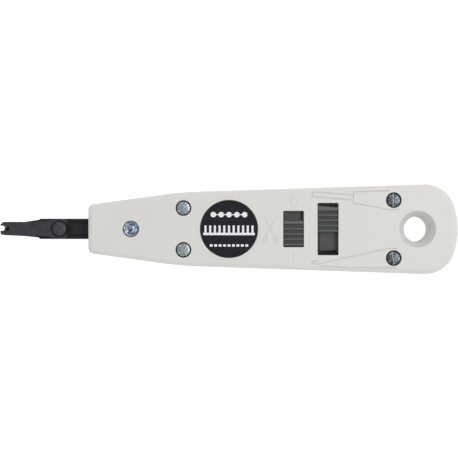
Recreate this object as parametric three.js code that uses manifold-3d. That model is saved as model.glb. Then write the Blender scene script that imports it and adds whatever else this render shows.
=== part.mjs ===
// Wire insertion ("punch down") hand tool: a two-shell plastic housing with a spring-loaded
// steel head, a wire cutter that a side switch turns on and off, and two fold-out tools.
//
// Millimetres. The tool lies on its rear shell: +Z points out of the front shell,
// +X points from the head towards the hanging hole, and Z = 0 is the rear face.

import * as THREE from "three";
import { mergeVertices } from "three/addons/utils/BufferGeometryUtils.js";
import Module from "manifold-3d";

const wasm = await Module();
wasm.setup();

// ---------------------------------------------------------------- driving dimensions

// Housing: outline in X and Y, symmetrical about Y = 0.
const THICKNESS = 19;
const WALL = 2;
const EDGE_R = 2;
const PARTING_Z = THICKNESS / 2;
const PARTING_GAP = 0.1;
const NOSE_X = -53.8;
const NOSE_HALF = 9.55;
const NOSE_CORNER_R = 2.1;
const NECK = { x: -25, half: 13.27 };
const WAIST = { x: -10, half: 14.45 };
const SIDE_LEAN = 0.033;
const TAIL_ARC = { x: 57.95, r: 30 };
const TAIL_CORNER = { x: 75.4, y: 5.6 };
const TAIL_CORNER_R = TAIL_ARC.r - Math.hypot(TAIL_CORNER.x - TAIL_ARC.x, TAIL_CORNER.y);
const FRONT_INNER_Z = THICKNESS - WALL;

// Hanging hole through both shells.
const HANG = { x: 72.3, boreR: 4.9, sinkR: 6.95, sinkDepth: 4, bossR: 7.4 };

// Slotted screws; turn is the angle of the slot to +X.
const SCREWS = {
  front_upper: { x: -17.3, y: 8, turn: -45 },
  front_lower: { x: -17.3, y: -8, turn: 75 },
  rear_upper: { x: 63.2, y: 11.1, turn: 90 },
  rear_lower: { x: 63.2, y: -11.1, turn: 100 },
};
const SCREW_HEAD_R = 2.5;
const SCREW_HEAD_Z = [16.75, 18.6];
const SCREW_SHANK_R = 1.45;
const SCREW_TIP_Z = 2.9;
const COUNTERBORE_R = 3;
const COUNTERBORE_Z = 16.6;
const BOSS_R = 3.4;
const INSERT = { outerR: 2, innerR: 1.6, z: [2.6, 7.6] };
const SHANK_HOLE_R = SCREW_SHANK_R + 0.15;
const FUSE = 0.5;

// Round label and the two windows in the front shell.
const LABEL = { x: 0.15, r: 11, depth: 0.5 };
const SWITCH_WINDOW = { x: [20.9, 28.8], half: 6.95 };
const RELEASE_WINDOW = { x: [34.05, 42.05], half: 10 };
const RIDGE_PITCH = 2;
const RIDGE_WIDTH = 0.5;
const PAD_Z = 18;
const RIDGE_Z = 18.95;
const TONGUE_Z = 16.8;
const FLANGE_Z = [14.7, 16.1];

// Sliding head: flat plates stacked in Z on one rivet.
const HEAD_STROKE = 6;
const HEAD_PIVOT_X = -65.35;
const TIP_X = -88.35;
const REAR_BLADE_Z = [5.5, 6.9];
const SHANK_Z = [7.2, 9.2];
const SCISSOR_Z = [9.4, 10.8];
const FRONT_BLADE_Z = [11, 12.6];
const SHANK_MID_Z = (SHANK_Z[0] + SHANK_Z[1]) / 2;
const SHANK_HALF = 3.95;
const SHANK_TAIL_HALF = 1.8;
const SHANK_SHOULDER_X = -31;
const SHANK_TAIL_X = 19;
const RIVET_SHANK_R = 1.6;
const RIVET_HEAD_R = 2.65;
const PLATE_HOLE_R = 1.7;
const SENSOR_Y = 0.1;
const SENSOR_CHANNEL_X = -67.7;
const SENSOR_NOSE_X = -87;
const SENSOR_HOLE_X = -85.65;
const SENSOR_HEEL_X = -74.5;
const SENSOR_HOLE_R = 0.95;

// Rivet through the housing that the head slides along.
const GUIDE = { x: -37.4, shankR: 2, headR: 3.05, headDepth: 1.2 };
const GUIDE_BOSS_R = 4;

// Main spring and its seat.
const SEAT_X = [16, 17.6];
const SEAT_RIB_X = [SEAT_X[1] + 0.3, SEAT_X[1] + 2.3];
const MAIN_SPRING = { meanR: 3.5, wireR: 0.6, turns: 13 };

// Ribs and posts moulded inside the shells.
const RAIL = { x: [-51, -34], y: [2.4, 3.8] };
const DIVIDER = { x: [31.3, 32.1], half: 9 };
const RELEASE_POST = { x: [36.2, 39.8], y: [6.9, 7.9] };
const LEAF_POSTS = [
  { x: [44.4, 45.9], half: 2.5 },
  { x: [47.6, 49], half: 2 },
];

// Lever between the switch and the cutter.
const LINK_PIVOT_X = -20;
const LINK_Z = [13, 14.4];
const LINK_POST_R = 1.5;
const LINK_TONGUE_X = 25;
const LINK_HALF = 1.1;

// Fold-out tools: flat steel arms that turn on the rear screws.
const TOOL_Z = [8.5, 10.5];
const TOOL_SLOT_Z = [8, 11];
const TOOL_SLOT_X = [29, 80];
const TOOL_SLOT_Y = 11.6;
const TOOL_HUB_R = 4.2;

// ---------------------------------------------------------------- materials

function finish(hex, roughness, metalness) {
  return new THREE.MeshStandardMaterial({ color: hex, roughness, metalness });
}

const housingPlastic = finish(0xd9d8d3, 0.5, 0);
const switchPlastic = finish(0x454a50, 0.45, 0);
const labelPlastic = finish(0x27272c, 0.35, 0);
const blackSteel = finish(0x24252a, 0.45, 0.8);
const greySteel = finish(0x3f4246, 0.4, 0.9);
const zincSteel = finish(0xb9bcc0, 0.3, 1);
const springSteel = finish(0x8d9095, 0.35, 1);
const brass = finish(0xc2a05a, 0.35, 1);

// ---------------------------------------------------------------- solid helpers

// A closed geometry as a solid that can be joined and cut.
function toSolid(geometry) {
  const bare = geometry.index ? geometry.toNonIndexed() : geometry;
  bare.deleteAttribute("normal");
  bare.deleteAttribute("uv");
  const merged = mergeVertices(bare, 1e-4);
  const corners = merged.index.array;
  const kept = [];
  for (let i = 0; i < corners.length; i += 3) {
    const [a, b, c] = [corners[i], corners[i + 1], corners[i + 2]];
    if (a !== b && b !== c && c !== a) {
      kept.push(a, b, c);
    }
  }
  const mesh = new wasm.Mesh({
    numProp: 3,
    vertProperties: new Float32Array(merged.attributes.position.array),
    triVerts: new Uint32Array(kept),
  });
  return new wasm.Manifold(mesh);
}

function toGeometry(solid) {
  const mesh = solid.getMesh();
  const geometry = new THREE.BufferGeometry();
  geometry.setAttribute("position", new THREE.BufferAttribute(mesh.vertProperties, 3));
  geometry.setIndex(new THREE.BufferAttribute(mesh.triVerts, 1));
  geometry.computeVertexNormals();
  return geometry;
}

function join(solids) {
  return solids.reduce((whole, piece) => whole.add(piece));
}

function cut(solid, tools) {
  return tools.reduce((rest, tool) => rest.subtract(tool), solid);
}

function block([x0, x1], [y0, y1], [z0, z1]) {
  const box = new THREE.BoxGeometry(x1 - x0, y1 - y0, z1 - z0);
  box.translate((x0 + x1) / 2, (y0 + y1) / 2, (z0 + z1) / 2);
  return toSolid(box);
}

// A flat plate: an outline in X and Y, standing from one Z to the other.
function plate(shape, [z0, z1], curveSegments = 6) {
  const settings = { depth: z1 - z0, bevelEnabled: false, curveSegments };
  const geometry = new THREE.ExtrudeGeometry(shape, settings);
  geometry.translate(0, 0, z0);
  return toSolid(geometry);
}

function polygon(points) {
  return new THREE.Shape(points.map(([x, y]) => new THREE.Vector2(x, y)));
}

// A body of revolution about a vertical axis; the profile of [radius, z] runs upwards.
function turned(profile, x, y, segments = 24) {
  const points = profile.map(([radius, z]) => new THREE.Vector2(radius, z));
  const geometry = new THREE.LatheGeometry(points, segments);
  geometry.rotateX(Math.PI / 2);
  geometry.translate(x, y, 0);
  return toSolid(geometry);
}

function disc(radius, x, y, [z0, z1], segments = 24) {
  return turned([[0, z0], [radius, z0], [radius, z1], [0, z1]], x, y, segments);
}

class Helix extends THREE.Curve {
  constructor(radius, length, turns) {
    super();
    this.radius = radius;
    this.length = length;
    this.turns = turns;
  }

  getPoint(t, target = new THREE.Vector3()) {
    const angle = t * this.turns * 2 * Math.PI;
    const x = this.radius * Math.cos(angle);
    const y = this.radius * Math.sin(angle);
    return target.set(x, y, (t - 0.5) * this.length);
  }
}

// A compression spring about the Z axis, centred on the origin; length is over its ends.
function coil({ meanR, wireR, turns }, length, stepsPerTurn = 10) {
  const wire = new THREE.Shape();
  wire.absarc(0, 0, wireR, 0, 2 * Math.PI);
  const extrudePath = new Helix(meanR, length - 2 * wireR, turns);
  const steps = Math.round(turns * stepsPerTurn);
  return new THREE.ExtrudeGeometry(wire, { steps, extrudePath, curveSegments: 3 });
}

// ---------------------------------------------------------------- housing

// The housing's outline, moved inwards by inset.
function housingOutline(inset) {
  const nose = NOSE_X + inset;
  const noseHalf = NOSE_HALF - inset;
  const cornerR = Math.max(NOSE_CORNER_R - inset, 0.4);
  const tailR = TAIL_CORNER_R - inset;
  const joint = Math.atan2(TAIL_CORNER.y, TAIL_CORNER.x - TAIL_ARC.x);
  const right = Math.PI / 2;
  const bend = (NECK.x + WAIST.x) / 2;
  const bendHalf = (NECK.half + WAIST.half) / 2 + 0.35 - inset;
  const outline = new THREE.Shape();
  outline.absarc(nose + cornerR, cornerR - noseHalf, cornerR, Math.PI, 3 * right - 0.14, false);
  outline.lineTo(NECK.x, inset - NECK.half);
  outline.quadraticCurveTo(bend, -bendHalf, WAIST.x, inset - WAIST.half);
  outline.absarc(TAIL_CORNER.x, -TAIL_CORNER.y, tailR, -right - SIDE_LEAN, -joint, false);
  outline.absarc(TAIL_ARC.x, 0, TAIL_ARC.r - inset, -joint, joint, false);
  outline.absarc(TAIL_CORNER.x, TAIL_CORNER.y, tailR, joint, right + SIDE_LEAN, false);
  outline.lineTo(WAIST.x, WAIST.half - inset);
  outline.quadraticCurveTo(bend, bendHalf, NECK.x, NECK.half - inset);
  outline.absarc(nose + cornerR, noseHalf - cornerR, cornerR, right + 0.14, Math.PI, false);
  return outline;
}

// The whole outer body with rounded edges, before it is hollowed and split.
function housingBody() {
  const settings = {
    depth: THICKNESS - 2 * EDGE_R,
    bevelThickness: EDGE_R,
    bevelSize: EDGE_R,
    bevelOffset: -EDGE_R,
    bevelSegments: 3,
    curveSegments: 5,
  };
  const geometry = new THREE.ExtrudeGeometry(housingOutline(0), settings);
  geometry.translate(0, 0, EDGE_R);
  return toSolid(geometry);
}

// One half of the hollow body, between two heights.
function tray([z0, z1]) {
  const cavity = plate(housingOutline(WALL), [WALL, FRONT_INNER_Z], 5);
  return cut(housingBody(), [cavity]).intersect(block([-100, 100], [-30, 30], [z0, z1]));
}

// The hanging hole with a countersink at each face.
function hangingHole() {
  const { x, boreR, sinkR, sinkDepth } = HANG;
  const over = 0.5;
  const overR = sinkR + (over * (sinkR - boreR)) / sinkDepth;
  const profile = [
    [0, -over],
    [overR, -over],
    [boreR, sinkDepth],
    [boreR, THICKNESS - sinkDepth],
    [overR, THICKNESS + over],
    [0, THICKNESS + over],
  ];
  return turned(profile, x, 0, 32);
}

// Openings cut the same way in both shells: the nose, the side slots and the hanging hole.
function sharedCuts() {
  const passageHalf = SHANK_HALF + 0.2;
  const passageZ = [SHANK_Z[0] - 0.4, SCISSOR_Z[1] + 0.4];
  const nosePassage = block([NOSE_X - 1, NOSE_X + WALL + 1], [-passageHalf, passageHalf], passageZ);
  const upperSlot = block(TOOL_SLOT_X, [TOOL_SLOT_Y, 20], TOOL_SLOT_Z);
  const lowerSlot = block(TOOL_SLOT_X, [-20, -TOOL_SLOT_Y], TOOL_SLOT_Z);
  const guideHole = disc(GUIDE.shankR + 0.1, GUIDE.x, 0, [-1, THICKNESS + 1]);
  return [nosePassage, upperSlot, lowerSlot, guideHole, hangingHole()];
}

function frontShell() {
  const low = PARTING_Z + PARTING_GAP / 2;
  const inWall = FRONT_INNER_Z + FUSE;
  const screws = Object.values(SCREWS);
  const bossFoot = ({ x }) => (x > 0 ? TOOL_SLOT_Z[1] : low);
  const bosses = screws.map((s) => disc(BOSS_R, s.x, s.y, [bossFoot(s), inWall]));
  const shankHoles = screws.map((s) => disc(SHANK_HOLE_R, s.x, s.y, [0, THICKNESS], 16));
  const headHoles = screws.map((s) => disc(COUNTERBORE_R, s.x, s.y, [COUNTERBORE_Z, THICKNESS + 1]));
  const guideRecess = THICKNESS - GUIDE.headDepth - 0.1;
  const dividerZ = [FLANGE_Z[0], inWall];
  const whole = join([
    tray([low, THICKNESS]),
    ...bosses,
    disc(HANG.bossR, HANG.x, 0, [low, inWall], 32),
    disc(LINK_POST_R, LINK_PIVOT_X, 0, [LINK_Z[0] - 0.4, inWall], 16),
    disc(GUIDE_BOSS_R, GUIDE.x, 0, [LINK_Z[1] + 0.4, inWall]),
    block(SEAT_RIB_X, [6, 9], [low, inWall]),
    block(SEAT_RIB_X, [-9, -6], [low, inWall]),
    block(DIVIDER.x, [-DIVIDER.half, DIVIDER.half], dividerZ),
  ]);
  return cut(whole, [
    ...sharedCuts(),
    ...shankHoles,
    ...headHoles,
    disc(GUIDE.headR + 0.1, GUIDE.x, 0, [guideRecess, THICKNESS + 1]),
    disc(LABEL.r + 0.15, LABEL.x, 0, [THICKNESS - LABEL.depth - 0.05, THICKNESS + 1], 48),
    windowCut(SWITCH_WINDOW),
    windowCut(RELEASE_WINDOW),
  ]);
}

function windowCut({ x, half }) {
  return block(x, [-half, half], [FRONT_INNER_Z - 1, THICKNESS + 1]);
}

function rearShell() {
  const high = PARTING_Z - PARTING_GAP / 2;
  const inWall = WALL - FUSE;
  const screws = Object.values(SCREWS);
  const bossTop = ({ x }) => (x > 0 ? TOOL_SLOT_Z[0] : high);
  const bosses = screws.map((s) => disc(BOSS_R, s.x, s.y, [inWall, bossTop(s)]));
  const over = PARTING_Z + 2.5;
  const insertHoleR = INSERT.outerR + 0.05;
  const shankHoles = screws.map((s) => disc(SHANK_HOLE_R, s.x, s.y, [WALL + 0.3, over], 16));
  const insertHoles = screws.map((s) => disc(insertHoleR, s.x, s.y, [INSERT.z[0] - 0.05, over], 16));
  const railTop = SHANK_Z[0] - 0.3;
  const postTop = LINK_Z[1] - 0.2;
  const [railLow, railHigh] = RAIL.y;
  const [postLow, postHigh] = RELEASE_POST.y;
  const whole = join([
    tray([0, high]),
    ...bosses,
    disc(HANG.bossR, HANG.x, 0, [inWall, high], 32),
    disc(GUIDE_BOSS_R, GUIDE.x, 0, [inWall, railTop]),
    block(RAIL.x, [railLow, railHigh], [inWall, railTop]),
    block(RAIL.x, [-railHigh, -railLow], [inWall, railTop]),
    block(SEAT_RIB_X, [3, 9], [inWall, high]),
    block(SEAT_RIB_X, [-9, -3], [inWall, high]),
    block(RELEASE_POST.x, [postLow, postHigh], [inWall, postTop]),
    block(RELEASE_POST.x, [-postHigh, -postLow], [inWall, postTop]),
    ...LEAF_POSTS.map(({ x, half }) => block(x, [-half, half], [inWall, high])),
  ]);
  return cut(whole, [
    ...sharedCuts(),
    ...shankHoles,
    ...insertHoles,
    disc(GUIDE.headR + 0.1, GUIDE.x, 0, [-1, GUIDE.headDepth + 0.1]),
  ]);
}

function labelDisc() {
  return disc(LABEL.r, LABEL.x, 0, [THICKNESS - LABEL.depth, THICKNESS], 48);
}

// ---------------------------------------------------------------- fasteners

// Slotted cheese-head screw with a slightly domed head.
function screw({ x, y, turn }) {
  const [headLow, headTop] = SCREW_HEAD_Z;
  const body = turned(
    [
      [0, SCREW_TIP_Z],
      [SCREW_SHANK_R - 0.4, SCREW_TIP_Z],
      [SCREW_SHANK_R, SCREW_TIP_Z + 0.5],
      [SCREW_SHANK_R, headLow],
      [SCREW_HEAD_R, headLow],
      [SCREW_HEAD_R, headTop - 0.4],
      [SCREW_HEAD_R - 0.4, headTop],
      [0, headTop],
    ],
    x,
    y,
  );
  const slot = new THREE.BoxGeometry(8, 0.8, 2);
  slot.rotateZ(THREE.MathUtils.degToRad(turn));
  slot.translate(x, y, headTop + 0.1);
  return body.subtract(toSolid(slot));
}

// Threaded bush that a screw bites in, sunk in the rear shell.
function threadedInsert({ x, y }) {
  const { outerR, innerR, z } = INSERT;
  const body = disc(outerR, x, y, z, 16);
  return body.subtract(disc(innerR, x, y, [z[0] - 1, z[1] + 1], 16));
}

// Turned rivet with a flush head at each face of the housing.
function guideRivet() {
  const { x, shankR, headR, headDepth } = GUIDE;
  const rim = 0.05;
  const top = THICKNESS - rim;
  const profile = [
    [0, rim],
    [headR, rim],
    [headR, headDepth],
    [shankR, headDepth],
    [shankR, THICKNESS - headDepth],
    [headR, THICKNESS - headDepth],
    [headR, top],
    [0.45, top],
    [0, top - 0.4],
  ];
  return turned(profile, x, 0);
}

function headRivet() {
  const low = REAR_BLADE_Z[0] - 0.1;
  const high = FRONT_BLADE_Z[1] + 0.1;
  const headHeight = 1.1;
  const crown = 0.4;
  const profile = [
    [0, low - headHeight],
    [RIVET_HEAD_R - crown, low - headHeight],
    [RIVET_HEAD_R, low - headHeight + crown],
    [RIVET_HEAD_R, low],
    [RIVET_SHANK_R, low],
    [RIVET_SHANK_R, high],
    [RIVET_HEAD_R, high],
    [RIVET_HEAD_R, high + headHeight - crown],
    [RIVET_HEAD_R - crown, high + headHeight],
    [0, high + headHeight],
  ];
  return turned(profile, HEAD_PIVOT_X, 0);
}

// ---------------------------------------------------------------- sliding head

function headHole(z) {
  return disc(PLATE_HOLE_R, HEAD_PIVOT_X, 0, z, 16);
}

// Forked insertion blade; its rear end is round about the rivet. The side points run from the
// tip to the rivet above the notch, and from the rivet to the tip below it.
function forkOutline(upperSide, lowerSide, endR) {
  const notch = { x: TIP_X + 0.8, y: 0.23, r: 1.03 };
  const outline = new THREE.Shape();
  outline.moveTo(TIP_X + 0.05, notch.y + notch.r);
  outline.lineTo(TIP_X, 1.5);
  outline.lineTo(TIP_X + 1.25, 2.7);
  upperSide.forEach(([x, y]) => outline.lineTo(x, y));
  outline.absarc(HEAD_PIVOT_X + 0.4, 0, endR, 1.75, -1.75, true);
  lowerSide.forEach(([x, y]) => outline.lineTo(x, y));
  outline.lineTo(TIP_X + 0.35, -2.15);
  outline.lineTo(TIP_X + 0.05, notch.y - notch.r);
  outline.absarc(notch.x, notch.y, notch.r, -Math.PI / 2, Math.PI / 2, false);
  return outline;
}

function frontBlade() {
  const upperSide = [[-79.9, 2.7], [-75.5, 2.5], [-71, 2.9]];
  const lowerSide = [[-69.5, -3.1], [-74, -2.65], [-80, -2.75], [-86.8, -2.45]];
  const blade = plate(forkOutline(upperSide, lowerSide, 3.85), FRONT_BLADE_Z, 5);
  const through = [FRONT_BLADE_Z[0] - 1, FRONT_BLADE_Z[1] + 1];
  const feelerHole = disc(SENSOR_HOLE_R, SENSOR_HOLE_X, SENSOR_Y, through, 16);
  return cut(blade, [headHole(through), feelerHole]);
}

function rearBlade() {
  const upperSide = [[-80, 2.65], [-73.7, 3.6]];
  const lowerSide = [[-73.7, -3.4], [-80, -2.8], [-86.8, -2.45]];
  const blade = plate(forkOutline(upperSide, lowerSide, 3.6), REAR_BLADE_Z, 5);
  return blade.subtract(headHole([REAR_BLADE_Z[0] - 1, REAR_BLADE_Z[1] + 1]));
}

// Flat bar that carries the blades: notched neck, guide slot, and a tail inside the spring.
function shankPlate() {
  const chamfer = 0.8;
  const neckHalf = 2.4;
  const neckX = -74.1;
  const tipX = TIP_X + 1.5;
  const outline = polygon([
    [tipX, neckHalf - 0.3],
    [neckX, neckHalf],
    [neckX, SHANK_HALF - chamfer],
    [neckX + chamfer, SHANK_HALF],
    [SHANK_SHOULDER_X, SHANK_HALF],
    [SHANK_SHOULDER_X, SHANK_TAIL_HALF],
    [SHANK_TAIL_X, SHANK_TAIL_HALF],
    [SHANK_TAIL_X, -SHANK_TAIL_HALF],
    [SHANK_SHOULDER_X, -SHANK_TAIL_HALF],
    [SHANK_SHOULDER_X, -SHANK_HALF],
    [neckX + chamfer, -SHANK_HALF],
    [neckX, chamfer - SHANK_HALF],
    [neckX, -neckHalf],
    [tipX, 0.3 - neckHalf],
  ]);
  const through = [SHANK_Z[0] - 1, SHANK_Z[1] + 1];
  const slotR = GUIDE.shankR + 0.2;
  const slotFrom = GUIDE.x - HEAD_STROKE;
  return cut(plate(outline, SHANK_Z), [
    headHole(through),
    block([tipX - 1, SENSOR_CHANNEL_X], [SENSOR_Y - 1.15, SENSOR_Y + 1.15], through),
    block([slotFrom, GUIDE.x], [-slotR, slotR], through),
    disc(slotR, slotFrom, 0, through),
    disc(slotR, GUIDE.x, 0, through),
  ]);
}

// Cutter: one jaw beside the fork, turning on the head rivet, with a tail for the ramp.
function scissorBlade() {
  const tailX = -47;
  const tailHalf = 1.5;
  const hubR = 3.2;
  const jawX = TIP_X + 1.3;
  const outline = polygon([
    [tailX, tailHalf],
    [HEAD_PIVOT_X, 2.4],
    [-73.8, 2.9],
    [-81.4, 2.5],
    [jawX, 2.5],
    [jawX, 1.6],
    [-76.8, 0.4],
    [HEAD_PIVOT_X, -2.4],
    [tailX, -tailHalf],
  ]);
  const body = plate(outline, SCISSOR_Z).add(disc(hubR, HEAD_PIVOT_X, 0, SCISSOR_Z));
  return body.subtract(headHole([SCISSOR_Z[0] - 1, SCISSOR_Z[1] + 1]));
}

// Feeler in the fork's notch that senses the seated wire.
function sensorSlider() {
  const z = [SHANK_Z[0] + 0.15, SHANK_Z[1] - 0.15];
  const noseLength = 2.3;
  const body = block([SENSOR_NOSE_X + noseLength, SENSOR_HEEL_X], [SENSOR_Y - 1, SENSOR_Y + 1], z);
  const nose = [SENSOR_NOSE_X, SENSOR_NOSE_X + noseLength];
  return body.add(block(nose, [SENSOR_Y - 0.6, SENSOR_Y + 0.6], z));
}

function sensorSpring() {
  const from = SENSOR_HEEL_X + 0.3;
  const to = SENSOR_CHANNEL_X - 0.3;
  const spring = coil({ meanR: 0.65, wireR: 0.18, turns: 8 }, to - from, 8);
  spring.rotateY(Math.PI / 2);
  spring.translate((from + to) / 2, SENSOR_Y, SHANK_MID_Z);
  return spring;
}

function mainSpring() {
  const from = SHANK_SHOULDER_X + 0.3;
  const to = SEAT_X[0] - 0.3;
  const spring = coil(MAIN_SPRING, to - from);
  spring.rotateY(Math.PI / 2);
  spring.translate((from + to) / 2, 0, SHANK_MID_Z);
  return spring;
}

// Steel plate that takes the spring's thrust; the shank's tail slides through it.
function springSeat() {
  const seat = block(SEAT_X, [-7, 7], [3.2, LINK_Z[0] - 0.3]);
  const windowHalf = SHANK_TAIL_HALF + 0.3;
  const windowZ = [SHANK_Z[0] - 0.3, SHANK_Z[1] + 0.3];
  const window = block([SEAT_X[0] - 1, SEAT_X[1] + 1], [-windowHalf, windowHalf], windowZ);
  return seat.subtract(window);
}

// ---------------------------------------------------------------- cutter switch and its lever

// Rocking lever: the switch holds its tongue, and a ramp at the far end turns the cutter.
function cutterLink() {
  const rampX = -46.9;
  const rampTopX = -40.6;
  const outerY = -5.3;
  const innerY = -2.9;
  const arm = polygon([
    [LINK_PIVOT_X, 1.4],
    [-34.5, innerY],
    [rampX, innerY],
    [rampX, outerY],
    [-34, outerY],
    [LINK_PIVOT_X, -1.4],
  ]);
  const ramp = polygon([
    [rampX, -1.75],
    [rampTopX - 0.25, 0.12],
    [rampTopX, 0],
    [rampTopX, outerY],
    [rampX, outerY],
  ]);
  const whole = join([
    plate(arm, LINK_Z),
    block([LINK_PIVOT_X, LINK_TONGUE_X + 1.2], [-LINK_HALF, LINK_HALF], LINK_Z),
    disc(3, LINK_PIVOT_X, 0, LINK_Z),
    plate(ramp, [SCISSOR_Z[0] + 0.1, LINK_Z[1]]),
  ]);
  return whole.subtract(disc(LINK_POST_R + 0.15, LINK_PIVOT_X, 0, [LINK_Z[0] - 1, LINK_Z[1] + 1], 16));
}

// Raised cross ridges on a finger pad; the first ridge's centre is at firstY.
function ridges([x0, x1], firstY, count) {
  const rows = [];
  for (let i = 0; i < count; i += 1) {
    const y = firstY - i * RIDGE_PITCH;
    rows.push(block([x0, x1], [y - RIDGE_WIDTH / 2, y + RIDGE_WIDTH / 2], [PAD_Z - 0.2, RIDGE_Z]));
  }
  return rows;
}

function cutterSwitch() {
  const padX = [21.15, 28.55];
  const forkX = [LINK_TONGUE_X - 0.8, LINK_TONGUE_X + 0.8];
  const forkZ = [LINK_Z[0], FLANGE_Z[0] + FUSE];
  const gap = LINK_HALF + 0.25;
  const length = [-10.7, 7.05];
  return join([
    block([20.2, 29.6], length, FLANGE_Z),
    block([21.2, 27.6], length, [FLANGE_Z[0], TONGUE_Z]),
    block(padX, [-6.7, 3], [FLANGE_Z[0], PAD_Z]),
    block(padX, [2.1, 3], [FLANGE_Z[0], RIDGE_Z]),
    ...ridges(padX, 0.1, 4),
    block(forkX, [gap, gap + 1.3], forkZ),
    block(forkX, [-gap - 1.3, -gap], forkZ),
  ]);
}

// Bowed leaf that clicks against the side of the switch.
function switchDetentSpring() {
  const thick = 0.4;
  const endX = DIVIDER.x[0] - 0.2;
  const bowX = 28.9;
  const half = 8.8;
  const leaf = new THREE.Shape();
  leaf.moveTo(endX, -half);
  leaf.quadraticCurveTo(bowX, 0, endX, half);
  leaf.lineTo(endX - thick, half);
  leaf.quadraticCurveTo(bowX - thick, 0, endX - thick, -half);
  return plate(leaf, [FLANGE_Z[0] + 0.3, FLANGE_Z[1] - 0.1]);
}

// ---------------------------------------------------------------- release slider

// Slider with a ribbed pad on its upper half; its ends are cut to the stowed tools' slant.
function releaseSlider() {
  const upperEdge = (x) => 8.85 - 0.08 * (x - RELEASE_WINDOW.x[0]);
  const lowerEdge = (x) => -8.4 + 0.067 * (x - RELEASE_WINDOW.x[0]);
  const band = ([x0, x1], lowEdge) => polygon([
    [x0, upperEdge(x0)],
    [x0, lowEdge(x0)],
    [x1, lowEdge(x1)],
    [x1, upperEdge(x1)],
  ]);
  const padX = [34.3, 41.8];
  const padEnd = -0.95;
  const topRidgeY = 7.05;
  return join([
    plate(band([32.6, 43.3], lowerEdge), FLANGE_Z),
    plate(band([34.9, 40.4], lowerEdge), [FLANGE_Z[0], TONGUE_Z]),
    plate(band(padX, () => padEnd), [FLANGE_Z[0], PAD_Z]),
    plate(band(padX, () => topRidgeY), [FLANGE_Z[0], RIDGE_Z]),
    ...ridges(padX, 5.35, 4),
    block([36.8, 39.2], [-1, 1], [11.2, FLANGE_Z[0] + FUSE]),
  ]);
}

// Two small springs that push on the slider's lug and bring it back to the middle.
function releaseSpring(side) {
  const spring = coil({ meanR: 1.15, wireR: 0.25, turns: 7 }, 5.3, 8);
  spring.rotateX(Math.PI / 2);
  spring.translate(38, side * 3.95, 12.6);
  return spring;
}

// ---------------------------------------------------------------- fold-out tools

function onRearScrew({ x, y }, outline) {
  const body = plate(outline, TOOL_Z).add(disc(TOOL_HUB_R, x, y, TOOL_Z));
  return body.subtract(disc(SHANK_HOLE_R, x, y, [TOOL_Z[0] - 1, TOOL_Z[1] + 1], 16));
}

// Thin releasing blade with a square tip.
function pickBlade() {
  const outline = polygon([
    [63.2, 15.25],
    [47.8, 14.5],
    [47.4, 13.05],
    [34.3, 13.95],
    [34.3, 14.25],
    [32, 14.25],
    [32, 12.35],
    [47.4, 11.2],
    [47.8, 10],
    [59.8, 7.5],
  ]);
  return onRearScrew(SCREWS.rear_upper, outline);
}

// Tapered arm with a small hook at the tip.
function wireHook() {
  const outline = polygon([
    [63.2, -15.25],
    [44.5, -14.75],
    [34.9, -14.3],
    [31.6, -13.4],
    [31.6, -12.6],
    [33.6, -12],
    [33.6, -12.6],
    [32.7, -13],
    [35.7, -13.05],
    [42.6, -11.4],
    [59.8, -7.6],
  ]);
  return onRearScrew(SCREWS.rear_lower, outline);
}

// U-shaped leaf that holds both fold-out tools by their hubs.
function toolDetentSpring() {
  const outerR = 6.7;
  const innerR = 6.2;
  const bendX = 53;
  const endX = 62.6;
  const leaf = new THREE.Shape();
  leaf.moveTo(endX, outerR);
  leaf.absarc(bendX, 0, outerR, Math.PI / 2, (3 * Math.PI) / 2, false);
  leaf.lineTo(endX, -outerR);
  leaf.lineTo(endX, -innerR);
  leaf.absarc(bendX, 0, innerR, (3 * Math.PI) / 2, Math.PI / 2, true);
  leaf.lineTo(endX, innerR);
  return plate(leaf, [TOOL_Z[0], PARTING_Z + 1], 6);
}

// ---------------------------------------------------------------- assembly

const tool = new THREE.Group();

function place(name, shape, material) {
  const geometry = shape.isBufferGeometry ? shape : toGeometry(shape);
  const mesh = new THREE.Mesh(geometry, material);
  mesh.name = name;
  tool.add(mesh);
}

place("front_shell", frontShell(), housingPlastic);
place("rear_shell", rearShell(), housingPlastic);
place("label_disc", labelDisc(), labelPlastic);
place("guide_rivet", guideRivet(), zincSteel);
for (const [corner, spot] of Object.entries(SCREWS)) {
  place(`screw_${corner}`, screw(spot), zincSteel);
  place(`threaded_insert_${corner}`, threadedInsert(spot), brass);
}

place("front_blade", frontBlade(), greySteel);
place("rear_blade", rearBlade(), greySteel);
place("shank_plate", shankPlate(), blackSteel);
place("head_rivet", headRivet(), greySteel);
place("scissor_blade", scissorBlade(), blackSteel);
place("sensor_slider", sensorSlider(), blackSteel);
place("sensor_spring", sensorSpring(), springSteel);
place("main_spring", mainSpring(), springSteel);
place("spring_seat", springSeat(), zincSteel);

place("cutter_link", cutterLink(), zincSteel);
place("cutter_switch", cutterSwitch(), switchPlastic);
place("switch_detent_spring", switchDetentSpring(), springSteel);
place("release_slider", releaseSlider(), switchPlastic);
place("release_spring_upper", releaseSpring(1), springSteel);
place("release_spring_lower", releaseSpring(-1), springSteel);

place("pick_blade", pickBlade(), zincSteel);
place("wire_hook", wireHook(), zincSteel);
place("tool_detent_spring", toolDetentSpring(), springSteel);

export default tool;
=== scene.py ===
import math

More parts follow.
